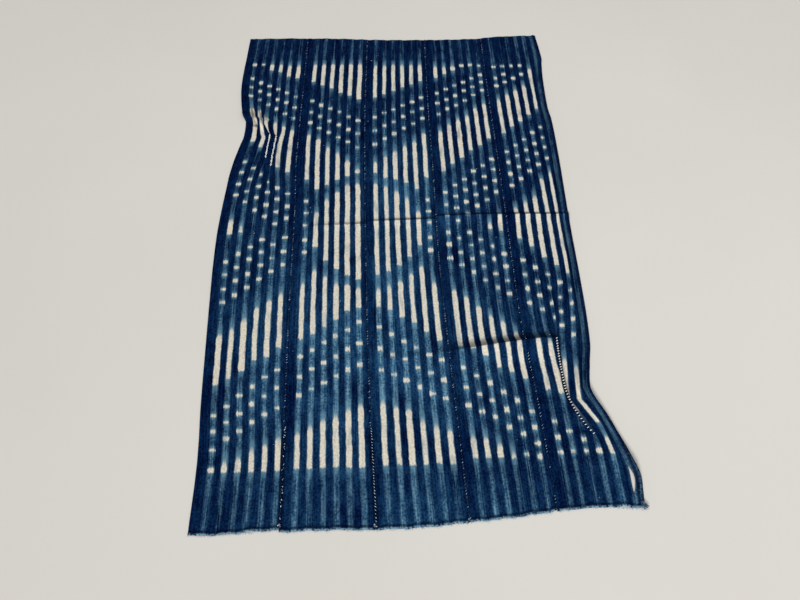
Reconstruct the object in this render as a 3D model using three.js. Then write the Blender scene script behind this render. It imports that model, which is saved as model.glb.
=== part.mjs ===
// Indigo cloth of five strip-woven panels sewn edge to edge, lying as it was spread on a floor.
// Each panel is one sheet that follows its woven edges, its two rolled hems and the creases.
import * as THREE from "three";

// Sizes, in millimetres
const CLOTH_THICKNESS = 1.6;
const SEAM_GAP = 0.3;
const HEM_THICKNESS = 3.2;
const HEM_DEPTH = 6;
const HEM_SLOPE = 3;
const SLOPE_STEP = 0.05;

// Seams between neighbouring panels, a row for each station along the cloth
const SEAMS = [
  { y: -840, seam1: -291, seam2: -77.5, seam3: 132, seam4: 330 },
  { y: -640, seam1: -297, seam2: -89, seam3: 122, seam4: 323.5 },
  { y: -500, seam1: -301, seam2: -94, seam3: 114.5, seam4: 317 },
  { y: -345, seam1: -307, seam2: -100, seam3: 107, seam4: 305 },
  { y: -120, seam1: -313, seam2: -106, seam3: 98.5, seam4: 302 },
  { y: 60, seam1: -317, seam2: -110, seam3: 97, seam4: 302 },
  { y: 250, seam1: -325.5, seam2: -113.5, seam3: 96, seam4: 300.5 },
  { y: 480, seam1: -325, seam2: -115, seam3: 92.7, seam4: 297 },
  { y: 840, seam1: -322.5, seam2: -110, seam3: 94, seam4: 295.5 },
];

// Left outer edge, drawn in where two tears were mended
const LEFT_EDGE = [
  { y: -840, x: -490 },
  { y: -706, x: -492 },
  { y: -636, x: -496 },
  { y: -540, x: -505 },
  { y: -346, x: -518 },
  { y: -236, x: -525 },
  { y: -106, x: -532 },
  { y: 0, x: -534 },
  { y: 176, x: -527 },
  { y: 240, x: -521 },
  { y: 318, x: -508 },
  { y: 358, x: -500 },
  { y: 426, x: -501 },
  { y: 442, x: -510 },
  { y: 500, x: -522 },
  { y: 585, x: -532 },
  { y: 685, x: -532.5 },
  { y: 840, x: -529 },
];

// Right outer edge, drawn in to a waist beside the long mend and flared at the front corner
const RIGHT_EDGE = [
  { y: -800, x: 526 },
  { y: -766, x: 530 },
  { y: -722, x: 532.5 },
  { y: -670, x: 517 },
  { y: -632, x: 503 },
  { y: -576, x: 482 },
  { y: -535, x: 462 },
  { y: -508, x: 454.5 },
  { y: -450, x: 463 },
  { y: -386, x: 475 },
  { y: -216, x: 482 },
  { y: 0, x: 484 },
  { y: 115, x: 487 },
  { y: 280, x: 491 },
  { y: 410, x: 491 },
  { y: 475, x: 486 },
  { y: 605, x: 489 },
  { y: 690, x: 496 },
  { y: 712, x: 499 },
  { y: 840, x: 492 },
];

// Lines of the mended tears in the first and the last panel
const LEFT_MEND = [
  { y: -840, x: -395 },
  { y: 0, x: -420 },
  { y: 237, x: -412 },
  { y: 364, x: -406 },
  { y: 470, x: -410 },
  { y: 840, x: -425 },
];
const RIGHT_MEND = [
  { y: -840, x: 446 },
  { y: -680, x: 452 },
  { y: -634, x: 444 },
  { y: -605, x: 424 },
  { y: -540, x: 396 },
  { y: -475, x: 389 },
  { y: -378, x: 388 },
  { y: -200, x: 386 },
  { y: 840, x: 388 },
];

// Hem lines, a row for each panel: y at its left side, its middle and its right side
const FRONT_HEM = [
  { left: -836, mid: -833, right: -823 },
  { left: -833, mid: -830, right: -832 },
  { left: -832, mid: -829, right: -819 },
  { left: -819, mid: -811, right: -798 },
  { left: -798, mid: -791, right: -797 },
];
const FAR_HEM = [
  { left: 837, mid: 839, right: 837 },
  { left: 837, mid: 834, right: 827 },
  { left: 827, mid: 823, right: 822 },
  { left: 822, mid: 822, right: 826 },
  { left: 828, mid: 838, right: 836 },
];
const PANEL_COUNT = FRONT_HEM.length;

// Cross creases that the rows of each sheet follow
const TUCK_LINE = [
  { x: -540, y: -432 },
  { x: 0, y: -420 },
  { x: 133, y: -404 },
  { x: 260, y: -389 },
  { x: 388, y: -375 },
  { x: 540, y: -366 },
];
const MIDDLE_LINE = [
  { x: -540, y: 2 },
  { x: -230, y: 4 },
  { x: 0, y: 18 },
  { x: 150, y: 30 },
  { x: 330, y: 36 },
  { x: 540, y: 36 },
];

// Ridges across the cloth: far and near are the widths of the two slopes
const CROSS_RIDGES = [
  { far: 22, near: 26, line: MIDDLE_LINE, from: -230, to: 500, rise: [0, 3, 4.5, 6, 6.5, 6, 4] },
  { far: 27, near: 62, line: TUCK_LINE, from: 60, to: 389, rise: [0, 6, 10, 14, 17, 19.5, 18] },
  { far: 20, near: 24, line: TUCK_LINE, from: -290, to: 100, rise: [0, 1.6, 2.4, 2.8, 3, 2.4, 0] },
];

// Ridges along or aslant the cloth: a row for each point of the crest
const CREST_RIDGES = [
  { name: "upper_fold", left: 18, right: 20, crest: [
    { x: 480, y: 431, rise: 1.5 },
    { x: 330, y: 431, rise: 2.6 },
    { x: 200, y: 430, rise: 2.2 },
    { x: 95, y: 428, rise: 0 },
  ] },
  { name: "lip", left: 38, right: 9, crest: [
    { x: -413, y: 330, rise: 0 },
    { x: -424, y: 374, rise: 4 },
    { x: -461, y: 418, rise: 10 },
    { x: -514, y: 446, rise: 15 },
  ] },
  { name: "left_swell", left: 24, right: 26, crest: [
    { x: -515, y: 455, rise: 5 },
    { x: -517, y: 540, rise: 8 },
    { x: -522, y: 630, rise: 5 },
    { x: -524, y: 720, rise: 0 },
  ] },
  { name: "slant_fold", left: 16, right: 16, crest: [
    { x: -472, y: 520, rise: 0 },
    { x: -461, y: 481, rise: 5 },
    { x: -430, y: 410, rise: 7 },
    { x: -414, y: 350, rise: 5 },
    { x: -412, y: 230, rise: 0 },
  ] },
  { name: "left_mends", left: 15, right: 15, crest: [
    { x: -405, y: 380, rise: 0 },
    { x: -406, y: 350, rise: 5 },
    { x: -411, y: 265, rise: 5 },
    { x: -413, y: 215, rise: 0 },
  ] },
  { name: "slip_fold", left: 11, right: 11, crest: [
    { x: 384, y: -150, rise: 0 },
    { x: 388, y: -205, rise: 5 },
    { x: 400, y: -290, rise: 7 },
    { x: 410, y: -345, rise: 0 },
  ] },
  { name: "right_mend", left: 9, right: 9, crest: [
    { x: 388, y: -372, rise: 8 },
    { x: 389, y: -475, rise: 5 },
    { x: 396, y: -540, rise: 5 },
    { x: 424, y: -605, rise: 4 },
    { x: 444, y: -634, rise: 0 },
  ] },
];

// Rolls along the right edge, measured in from it, a row for each station along the cloth
const OUTER_ROLL = { inset: 9, slope: 8.5 };
const INNER_ROLL = { inset: 27, slope: 9.5 };
const ROLL_RISES = [
  { y: -800, outer: 5, inner: 0 },
  { y: -765, outer: 10, inner: 0 },
  { y: -715, outer: 12, inner: 0 },
  { y: -650, outer: 9, inner: 1 },
  { y: -575, outer: 10, inner: 7 },
  { y: -508, outer: 13, inner: 10 },
  { y: -386, outer: 12, inner: 9 },
  { y: -216, outer: 10, inner: 6 },
  { y: 0, outer: 9, inner: 5 },
  { y: 280, outer: 8, inner: 4 },
  { y: 475, outer: 9, inner: 4.5 },
  { y: 605, outer: 7, inner: 3 },
  { y: 712, outer: 6, inner: 1 },
  { y: 840, outer: 3, inner: 0 },
];

// Worn slit beside the roll at the front right corner
const SLIT = { front: -762, far: -697, opening: 9, inner: 18.5, outer: 15.5 };

// Rows of every sheet: distances from the front hem, the tuck, the middle crease and the far hem
const FRONT_ROWS = [0, 3, 6, 9, 22, 38, 52, 68, 84, 102, 124, 158, 192];
const TUCK_ROWS = [-182, -158, -132, -104, -80, -58, -38, -20, -7, 0, 5, 11, 18, 27, 46, 75, 115, 170, 225];
const MIDDLE_ROWS = [-150, -90, -45, -25, -13, -5, 0, 5, 12, 21, 50, 110, 170, 210, 245, 285];
const PUCKER_ROWS = [-500, -474, -452, -432, -418, -408, -396, -382, -366, -345, -315];
const FAR_ROWS = [-270, -210, -145, -85, -40, -9, -6, -3, 0];

// Columns of the first panel from its outer edge, its mends and its seam
const LEFT_INSETS = [0, 5, 12, 22, 36, 55];
const MEND_COLUMNS_LEFT = [-15, 0, 15];
const INNER_PARTS_LEFT = [0.5, 1];

// Columns of the last panel from its seam, its mend and its outer edge
const INNER_PARTS_RIGHT = [0, 0.5];
const MEND_COLUMNS_RIGHT = [-9, 0, 9];
const RIGHT_INSETS = [38, 32, 27, 22, SLIT.inner, SLIT.outer, 9, 4, 0];

// Columns of the three middle panels
const MIDDLE_PARTS = [0, 0.25, 0.5, 0.75, 1];

// Value of one column of a table at a place between its rows, on a smooth curve
function along(rows, place, key, at) {
  let i = 0;
  while (i < rows.length - 2 && at > rows[i + 1][place]) {
    i += 1;
  }
  const tangent = (k) => {
    const a = rows[Math.max(k - 1, 0)];
    const b = rows[Math.min(k + 1, rows.length - 1)];
    return (b[key] - a[key]) / (b[place] - a[place]);
  };
  const span = rows[i + 1][place] - rows[i][place];
  const t = THREE.MathUtils.clamp((at - rows[i][place]) / span, 0, 1);
  const s = t * t * (3 - 2 * t);
  const ends = THREE.MathUtils.lerp(rows[i][key], rows[i + 1][key], s);
  const lean = tangent(i) * (1 - t) - tangent(i + 1) * t;
  return ends + span * t * (1 - t) * lean;
}

const leftEdge = (y) => along(LEFT_EDGE, "y", "x", y);
const rightEdge = (y) => along(RIGHT_EDGE, "y", "x", y);
const seam = (name, y) => along(SEAMS, "y", name, y);

// Height of a ridge that is highest on its crest and fades to nothing over its slope
function fade(distance, slope) {
  const part = Math.min(Math.abs(distance) / slope, 1);
  return 0.5 + 0.5 * Math.cos(Math.PI * part);
}

function crossRise(ridge, x, y) {
  const part = (x - ridge.from) / (ridge.to - ridge.from);
  if (part <= 0 || part >= 1) {
    return 0;
  }
  const place = part * (ridge.rise.length - 1);
  const i = Math.floor(place);
  const rise = THREE.MathUtils.lerp(ridge.rise[i], ridge.rise[i + 1], place - i);
  const distance = y - along(ridge.line, "x", "y", x);
  return rise * fade(distance, distance > 0 ? ridge.far : ridge.near);
}

function crestRise(ridge, x, y) {
  let best = 0;
  for (let i = 0; i < ridge.crest.length - 1; i += 1) {
    const a = ridge.crest[i];
    const b = ridge.crest[i + 1];
    const length = Math.hypot(b.x - a.x, b.y - a.y);
    const ux = (b.x - a.x) / length;
    const uy = (b.y - a.y) / length;
    const t = THREE.MathUtils.clamp(((x - a.x) * ux + (y - a.y) * uy) / length, 0, 1);
    const dx = x - THREE.MathUtils.lerp(a.x, b.x, t);
    const dy = y - THREE.MathUtils.lerp(a.y, b.y, t);
    const side = ux * (y - a.y) - uy * (x - a.x);
    const slope = side > 0 ? ridge.right : ridge.left;
    const rise = THREE.MathUtils.lerp(a.rise, b.rise, t);
    best = Math.max(best, rise * fade(Math.hypot(dx, dy), slope));
  }
  return best;
}

function rollRise(x, y) {
  const inset = rightEdge(y) - x;
  const outer = along(ROLL_RISES, "y", "outer", y) * fade(inset - OUTER_ROLL.inset, OUTER_ROLL.slope);
  const inner = along(ROLL_RISES, "y", "inner", y) * fade(inset - INNER_ROLL.inset, INNER_ROLL.slope);
  return Math.max(outer, 0) + Math.max(inner, 0);
}

// Height of the underside over the floor
function heightAt(x, y) {
  const cross = Math.max(...CROSS_RIDGES.map((ridge) => crossRise(ridge, x, y)));
  const crest = Math.max(...CREST_RIDGES.map((ridge) => crestRise(ridge, x, y)));
  return Math.max(cross, crest, rollRise(x, y), 0);
}

// Across places of one panel at a station, from its left side to its right side
function columnsAt(panel, y) {
  const half = SEAM_GAP / 2;
  if (panel === 0) {
    const mend = along(LEFT_MEND, "y", "x", y);
    const end = seam("seam1", y) - half;
    const inner = mend + MEND_COLUMNS_LEFT.at(-1);
    return [
      ...LEFT_INSETS.map((inset) => leftEdge(y) + inset),
      ...MEND_COLUMNS_LEFT.map((offset) => mend + offset),
      ...INNER_PARTS_LEFT.map((part) => THREE.MathUtils.lerp(inner, end, part)),
    ];
  }
  if (panel === PANEL_COUNT - 1) {
    const mend = along(RIGHT_MEND, "y", "x", y);
    const start = seam("seam4", y) + half;
    const inner = mend + MEND_COLUMNS_RIGHT[0];
    const opening = slitOpening(y);
    return [
      ...INNER_PARTS_RIGHT.map((part) => THREE.MathUtils.lerp(start, inner, part)),
      ...MEND_COLUMNS_RIGHT.map((offset) => mend + offset),
      ...RIGHT_INSETS.map((inset) => {
        const inward = Number(inset === SLIT.inner) - Number(inset === SLIT.outer);
        return rightEdge(y) - inset - inward * opening / 2;
      }),
    ];
  }
  const start = seam(`seam${panel}`, y) + half;
  const end = seam(`seam${panel + 1}`, y) - half;
  return MIDDLE_PARTS.map((part) => THREE.MathUtils.lerp(start, end, part));
}

function slitOpening(y) {
  const part = (y - SLIT.front) / (SLIT.far - SLIT.front);
  return part > 0 && part < 1 ? SLIT.opening * Math.sin(Math.PI * part) : 0;
}

// Place of a hem at a part of the way across a panel
function hemAt(hem, part) {
  const bow = 4 * hem.mid - 2 * hem.left - 2 * hem.right;
  return THREE.MathUtils.lerp(hem.left, hem.right, part) + bow * part * (1 - part);
}

// Rows of a panel: each is a line across it, given its part across and its place
function rowsOf(panel) {
  const rows = [];
  for (const offset of FRONT_ROWS) {
    rows.push((part) => hemAt(FRONT_HEM[panel], part) + offset);
  }
  for (const offset of TUCK_ROWS) {
    rows.push((part, x) => along(TUCK_LINE, "x", "y", x) + offset);
  }
  for (const offset of MIDDLE_ROWS) {
    rows.push((part, x) => along(MIDDLE_LINE, "x", "y", x) + offset);
  }
  for (const offset of [...PUCKER_ROWS, ...FAR_ROWS]) {
    rows.push((part) => hemAt(FAR_HEM[panel], part) + offset);
  }
  return rows;
}

function thicknessAt(fromEnd) {
  const part = THREE.MathUtils.clamp((HEM_DEPTH + HEM_SLOPE - fromEnd) / HEM_SLOPE, 0, 1);
  return THREE.MathUtils.lerp(CLOTH_THICKNESS, HEM_THICKNESS, part);
}

// Underside and upper side of one panel as rows of points
function panelGrid(panel) {
  const rows = rowsOf(panel);
  const count = columnsAt(panel, 0).length;
  const under = [];
  const upper = [];
  for (const row of rows) {
    const underRow = [];
    const upperRow = [];
    for (let c = 0; c < count; c += 1) {
      const part = c / (count - 1);
      let x = columnsAt(panel, row(part, 0))[c];
      const y = row(part, x);
      x = columnsAt(panel, y)[c];
      const z = heightAt(x, y);
      const slopeX = (heightAt(x + SLOPE_STEP, y) - heightAt(x - SLOPE_STEP, y)) / (2 * SLOPE_STEP);
      const slopeY = (heightAt(x, y + SLOPE_STEP) - heightAt(x, y - SLOPE_STEP)) / (2 * SLOPE_STEP);
      const normal = new THREE.Vector3(-slopeX, -slopeY, 1).normalize();
      const fromFront = y - hemAt(FRONT_HEM[panel], part);
      const fromFar = hemAt(FAR_HEM[panel], part) - y;
      const point = new THREE.Vector3(x, y, z);
      underRow.push(point);
      upperRow.push(point.clone().addScaledVector(normal, thicknessAt(Math.min(fromFront, fromFar))));
    }
    under.push(underRow);
    upper.push(upperRow);
  }
  return { under, upper };
}

// Whether a cell of the last panel lies in the slit
function inSlit(panel, grid, r, c) {
  const before = INNER_PARTS_RIGHT.length + MEND_COLUMNS_RIGHT.length;
  const slitColumn = before + RIGHT_INSETS.indexOf(SLIT.inner);
  const middle = (grid.under[r][c].y + grid.under[r + 1][c].y) / 2;
  return panel === PANEL_COUNT - 1 && c === slitColumn && middle > SLIT.front && middle < SLIT.far;
}

// One closed sheet from the grid of a panel
function panelMesh(panel) {
  const grid = panelGrid(panel);
  const rowCount = grid.under.length;
  const columnCount = grid.under[0].length;
  const positions = [];
  for (const side of [grid.under, grid.upper]) {
    for (const row of side) {
      for (const point of row) {
        positions.push(point.x, point.y, point.z);
      }
    }
  }
  const upperStart = rowCount * columnCount;
  const index = [];
  const kept = (r, c) => {
    const inside = r >= 0 && c >= 0 && r < rowCount - 1 && c < columnCount - 1;
    return inside && !inSlit(panel, grid, r, c);
  };
  const wall = (a, b) => {
    index.push(a, b, b + upperStart, a, b + upperStart, a + upperStart);
  };
  for (let r = 0; r < rowCount - 1; r += 1) {
    for (let c = 0; c < columnCount - 1; c += 1) {
      if (!kept(r, c)) {
        continue;
      }
      const a = r * columnCount + c;
      const b = a + 1;
      const d = a + columnCount;
      const e = d + 1;
      index.push(a, e, b, a, d, e);
      index.push(a + upperStart, b + upperStart, e + upperStart);
      index.push(a + upperStart, e + upperStart, d + upperStart);
      const sides = [
        { beside: kept(r - 1, c), from: a, to: b },
        { beside: kept(r, c + 1), from: b, to: e },
        { beside: kept(r + 1, c), from: e, to: d },
        { beside: kept(r, c - 1), from: d, to: a },
      ];
      for (const side of sides.filter((row) => !row.beside)) {
        wall(side.from, side.to);
      }
    }
  }
  const geometry = new THREE.BufferGeometry();
  geometry.setAttribute("position", new THREE.Float32BufferAttribute(positions, 3));
  geometry.setIndex(index);
  geometry.computeVertexNormals();
  const material = new THREE.MeshStandardMaterial({ color: 0x1d3f63, roughness: 0.92, metalness: 0 });
  const mesh = new THREE.Mesh(geometry, material);
  mesh.name = `panel_${panel + 1}`;
  return mesh;
}

const cloth = new THREE.Group();
cloth.name = "indigo_cloth";
for (let panel = 0; panel < PANEL_COUNT; panel += 1) {
  cloth.add(panelMesh(panel));
}

// The origin is the middle of the underside
const box = new THREE.Box3().setFromObject(cloth);
for (const mesh of cloth.children) {
  mesh.geometry.translate(-(box.min.x + box.max.x) / 2, -(box.min.y + box.max.y) / 2, -box.min.z);
}

export default cloth;
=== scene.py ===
import math
import random
import bpy
import bmesh
import numpy as np
from mathutils import Matrix, Vector, noise
from mathutils.bvhtree import BVHTree


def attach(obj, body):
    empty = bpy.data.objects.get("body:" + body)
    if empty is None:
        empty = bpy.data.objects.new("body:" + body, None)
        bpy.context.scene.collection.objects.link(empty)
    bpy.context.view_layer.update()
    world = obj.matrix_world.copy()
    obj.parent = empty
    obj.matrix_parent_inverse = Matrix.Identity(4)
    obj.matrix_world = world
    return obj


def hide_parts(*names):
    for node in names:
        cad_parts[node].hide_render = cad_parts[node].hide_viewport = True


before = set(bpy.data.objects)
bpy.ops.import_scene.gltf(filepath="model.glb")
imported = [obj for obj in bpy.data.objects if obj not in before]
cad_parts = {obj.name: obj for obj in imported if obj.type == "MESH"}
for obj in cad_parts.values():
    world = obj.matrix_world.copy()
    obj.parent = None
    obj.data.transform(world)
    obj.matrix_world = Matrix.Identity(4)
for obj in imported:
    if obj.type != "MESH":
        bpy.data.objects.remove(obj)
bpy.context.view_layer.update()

# The camera is a telephone held 1.4 m over the floor at the near end of the cloth.
# It looks down at 60 degrees, one degree to the right of the way the panels run.
camera_data = bpy.data.cameras.new("camera")
camera_data.lens = 27
camera_data.sensor_width = 36
camera = bpy.data.objects.new("camera", camera_data)
camera.location = (-0.0274, -1.0570, 1.400)
camera.rotation_euler = (math.radians(90 - 60.07), 0, math.radians(-1.05))
bpy.context.collection.objects.link(camera)
bpy.context.scene.camera = camera
bpy.context.scene.view_settings.view_transform = "Standard"

# The floor is a plain pale surface, lit by a large soft window light from the near left,
# with even light from all round that keeps the shade under the folds open.
floor_mesh = bpy.data.meshes.new("floor")
floor_shape = bmesh.new()
bmesh.ops.create_grid(floor_shape, x_segments=1, y_segments=1, size=6)
floor_shape.to_mesh(floor_mesh)
floor_shape.free()
floor = bpy.data.objects.new("floor", floor_mesh)
floor.location.z = -0.0004
bpy.context.collection.objects.link(floor)


def srgb(red, green, blue):
    """A colour as the eye reads it, from 0 to 255, in the linear values that shaders take."""
    linear = []
    for part in (red / 255, green / 255, blue / 255):
        linear.append(part / 12.92 if part <= 0.04045 else ((part + 0.055) / 1.055) ** 2.4)
    return (*linear, 1.0)


def new_material(name):
    """An empty material with its own Principled shader, as (material, tree, shader)."""
    material = bpy.data.materials.new(name)
    material.use_nodes = True
    tree = material.node_tree
    return material, tree, tree.nodes["Principled BSDF"]


def put(tree, kind, inputs=(), **settings):
    """A shader node with its settings, and inputs that are values or other nodes' sockets."""
    made = tree.nodes.new(kind)
    for name, value in settings.items():
        setattr(made, name, value)
    for name, value in dict(inputs).items():
        if isinstance(value, bpy.types.NodeSocket):
            tree.links.new(value, made.inputs[name])
        else:
            made.inputs[name].default_value = value
    return made


def calc(tree, operation, first, second=0.0, third=0.0, clamp=False):
    """One step of arithmetic in a shader, as the socket that holds its result."""
    inputs = {0: first, 1: second, 2: third}
    return put(tree, "ShaderNodeMath", inputs, operation=operation, use_clamp=clamp).outputs[0]


def ease(tree, value, start, end):
    """0 where the value is at start and 1 at end, with a soft slope between."""
    inputs = {"Value": value, "From Min": start, "From Max": end}
    made = put(tree, "ShaderNodeMapRange", inputs, interpolation_type="SMOOTHSTEP")
    return made.outputs["Result"]


def blend(tree, share, first, second, way="MIX"):
    """Two colours mixed by a share, as the socket of the mixed colour."""
    made = put(tree, "ShaderNodeMix", data_type="RGBA", blend_type=way)
    for socket, value in ((made.inputs[0], share), (made.inputs[6], first), (made.inputs[7], second)):
        if isinstance(value, bpy.types.NodeSocket):
            tree.links.new(value, socket)
        else:
            socket.default_value = value
    return made.outputs[2]


floor_paint, floor_tree, floor_shader = new_material("pale_floor")
floor_place = put(floor_tree, "ShaderNodeTexCoord").outputs["Object"]
floor_cloud = put(floor_tree, "ShaderNodeTexNoise", {"Vector": floor_place, "Scale": 1.3, "Detail": 3.0})
floor_tone = blend(floor_tree, floor_cloud.outputs["Fac"], srgb(214, 210, 202), srgb(222, 219, 213))
floor_tree.links.new(floor_tone, floor_shader.inputs["Base Color"])
floor_shader.inputs["Roughness"].default_value = 0.7
floor_shader.inputs["Specular IOR Level"].default_value = 0.1
floor_mesh.materials.append(floor_paint)

window_data = bpy.data.lights.new("window_light", "SUN")
window_data.energy = 2.9
window_data.angle = math.radians(16)
window_data.color = (1.0, 0.985, 0.955)
window = bpy.data.objects.new("window_light", window_data)
window.rotation_euler = Vector((0.9, 2.2, -1.55)).to_track_quat("-Z", "Y").to_euler()
bpy.context.collection.objects.link(window)

room_data = bpy.data.lights.new("room_light", "AREA")
room_data.shape = "DISK"
room_data.size = 2.4
room_data.energy = 26
room_data.color = (0.98, 0.99, 1.0)
room = bpy.data.objects.new("room_light", room_data)
room.location = (0.8, -0.9, 3.0)
room.rotation_euler = (Vector((0, -0.1, 0)) - room.location).to_track_quat("-Z", "Y").to_euler()
bpy.context.collection.objects.link(room)

world = bpy.data.worlds.new("room")
world.use_nodes = True
world.node_tree.nodes["Background"].inputs["Color"].default_value = (0.93, 0.96, 1.0, 1.0)
world.node_tree.nodes["Background"].inputs["Strength"].default_value = 0.30
bpy.context.scene.world = world

# The panels are strips of handwoven cotton about 21 cm wide, dyed with indigo on a tied warp.
# They lie side by side in the order they were sewn, with rolled ends and worn, mended places.
# The tables are in millimetres, measured from the middle of the cloth.
MM = 0.001
PANEL_COUNT = 5
LEFT_PANEL, RIGHT_PANEL = 0, PANEL_COUNT - 1
CLOTH_MIDDLE = (-0.6, 1.5)
CLOTH_THICKNESS = 1.6
SEAM_GAP = 0.3
HEM_ROLL = 1.9
HEM_DEPTH = 6.5
HEM_WAVE = 0.9
seams = {
    "y": [-840, -640, -500, -345, -120, 60, 250, 480, 840],
    "seam1": [-291, -297, -301, -307, -313, -317, -325.5, -325, -322.5],
    "seam2": [-77.5, -89, -94, -100, -106, -110, -113.5, -115, -110],
    "seam3": [132, 122, 114.5, 107, 98.5, 97, 96, 92.7, 94],
    "seam4": [330, 323.5, 317, 305, 302, 302, 300.5, 297, 295.5],
}
left_edge = {
    "y": [-840, -706, -636, -540, -346, -236, -106, 0, 176, 240, 318, 358, 426, 442, 500, 585, 685, 840],
    "x": [-490, -492, -496, -505, -518, -525, -532, -534, -527, -521, -508, -500, -501, -510, -522, -532,
          -532.5, -529],
}
right_edge = {
    "y": [-800, -766, -722, -670, -632, -576, -535, -508, -450, -386, -216, 0, 115, 280, 410, 475, 605, 690,
          712, 840],
    "x": [526, 530, 532.5, 517, 503, 482, 462, 454.5, 463, 475, 482, 484, 487, 491, 491, 486, 489, 496, 499,
          492],
}
front_hem = {"left": [-839, -836, -834, -822, -802], "mid": [-837, -833, -831, -814, -795],
             "right": [-829, -835, -822, -801, -802]}
far_hem = {"left": [837, 837, 827, 822, 828], "mid": [839, 834, 823, 822, 838],
           "right": [837, 827, 822, 826, 836]}
tuck_line = {"x": [-540, 0, 133, 260, 388, 540], "y": [-432, -420, -404, -389, -375, -366]}
middle_line = {"x": [-540, -320, -112, -108, 96, 99, 301, 304, 540], "y": [0, 1, 4, 11, 17, 26, 30, 29, 28]}
cross_ridges = [
    {"line": middle_line, "far": 13, "near": 30, "from": -300, "to": 500, "sharp": 0.85,
     "rise": [0, 3.5, 5, 6.5, 7, 7, 5]},
    {"line": tuck_line, "far": 27, "near": 60, "from": 60, "to": 402, "sharp": 0.7,
     "rise": [0, 6, 10, 14, 17, 19.5, 18, 0]},
    {"line": tuck_line, "far": 18, "near": 24, "from": -290, "to": 110, "sharp": 0.5,
     "rise": [0, 1.6, 2.4, 2.8, 3, 3, 2]},
]
crest_ridges = [
    {"left": 18, "right": 20, "x": [480, 330, 200, 95], "y": [431, 431, 430, 428],
     "rise": [1.5, 2.6, 2.2, 0]},
    {"left": 38, "right": 9, "x": [-413, -424, -461, -514], "y": [330, 374, 418, 446],
     "rise": [0, 4, 10, 15]},
    {"left": 24, "right": 26, "x": [-515, -517, -522, -524], "y": [455, 540, 630, 720],
     "rise": [5, 8, 5, 0]},
    {"left": 16, "right": 16, "x": [-472, -461, -430, -414, -412], "y": [520, 481, 410, 350, 230],
     "rise": [0, 5, 7, 5, 0]},
    {"left": 15, "right": 15, "x": [-405, -406, -411, -413], "y": [380, 350, 265, 215],
     "rise": [0, 5, 5, 0]},
    {"left": 11, "right": 11, "x": [384, 388, 400, 410], "y": [-150, -205, -290, -345],
     "rise": [0, 5, 7, 0]},
    {"left": 9, "right": 9, "x": [388, 389, 396, 424, 444], "y": [-372, -475, -540, -605, -634],
     "rise": [8, 5, 5, 4, 0]},
]
rolls = {
    "y": [-800, -765, -715, -650, -575, -508, -386, -216, 0, 280, 475, 605, 712, 840],
    "outer": [5, 10, 12, 9, 10, 13, 12, 10, 9, 8, 9, 7, 6, 3],
    "inner": [0, 0, 0, 1, 7, 10, 9, 6, 5, 4, 4.5, 3, 1, 0],
}
OUTER_ROLL_INSET, OUTER_ROLL_SLOPE = 9, 8.5
INNER_ROLL_INSET, INNER_ROLL_SLOPE = 27, 9.5

# Tears were drawn together and sewn. Each table gives a mend's or fold's place across the cloth, as a
# part of its panel's width at the left and in millimetres at the right, and the width its pleat hides.
left_fold = {"y": [-840, 359, 385, 408, 444, 476, 530, 840],
             "part": [0.27, 0.27, 0.268, 0.263, 0.246, 0.237, 0.23, 0.23],
             "hidden": [0, 0, 6, 10, 9, 5, 0, 0]}
left_mend_outer = {"y": [-840, 150, 230, 269, 362, 408, 444, 476, 514, 840],
                   "part": [0.447, 0.447, 0.475, 0.497, 0.482, 0.345, 0.33, 0.325, 0.30, 0.30],
                   "hidden": [0, 0, 7, 13, 14, 16, 8, 3, 0, 0]}
left_mend_inner = {"y": [-840, 130, 237, 300, 355, 368, 390, 560, 840],
                   "part": [0.594, 0.594, 0.607, 0.602, 0.597, 0.596, 0.594, 0.594, 0.594],
                   "hidden": [0, 0, 17, 21, 21, 9, 2, 0, 0]}
right_mend = {"y": [-840, -680, -634, -605, -540, -475, -378, -335, -260, -202, -100, 840],
              "x": [448, 458, 447, 425, 396, 388.5, 388.5, 396, 394, 387, 386, 388],
              "hidden": [0, 0, 5, 14, 50, 41, 25, 17, 7, 0, 0, 0]}
FLAT_WIDTH = [208, 207.5, 205, 204, 205]
FIRST_STRIPE = [33, 33.3, 31.5, 32, 31]
FRONT_DRAWN_IN = 0.012


def along(table, place, key, at):
    """A column of a table at places between its rows, on a smooth curve."""
    stations = np.asarray(table[place], float)
    values = np.asarray(table[key], float)
    before = np.maximum(np.arange(len(stations)) - 1, 0)
    after = np.minimum(np.arange(len(stations)) + 1, len(stations) - 1)
    tangent = (values[after] - values[before]) / (stations[after] - stations[before])
    at = np.clip(at, stations[0], stations[-1])
    i = np.clip(np.searchsorted(stations, at) - 1, 0, len(stations) - 2)
    span = stations[i + 1] - stations[i]
    t = (at - stations[i]) / span
    ends = values[i] + (values[i + 1] - values[i]) * t * t * (3 - 2 * t)
    return ends + span * t * (1 - t) * (tangent[i] * (1 - t) - tangent[i + 1] * t)


def straight(table, place, key, at):
    """A column of a table at places between its rows, on straight lines."""
    return np.interp(at, table[place], table[key])


def panel_sides(panel, y):
    """The left and right sides of a panel at stations along the cloth."""
    if panel == LEFT_PANEL:
        left = along(left_edge, "y", "x", y)
    else:
        left = along(seams, "y", f"seam{panel}", y) + SEAM_GAP / 2
    if panel == RIGHT_PANEL:
        right = along(right_edge, "y", "x", y)
    else:
        right = along(seams, "y", f"seam{panel + 1}", y) - SEAM_GAP / 2
    return left, right


def hem_line(hem, panel, part):
    """The place of a hem at parts of the way across a panel, a little wavy from wear."""
    left, mid, right = (hem[key][panel] for key in ("left", "mid", "right"))
    wave = np.sin(part * 19 + panel * 2.3) + 0.7 * np.sin(part * 43 + panel * 1.1)
    bow = (4 * mid - 2 * left - 2 * right) * part * (1 - part)
    return left + (right - left) * part + bow + HEM_WAVE * wave


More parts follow.
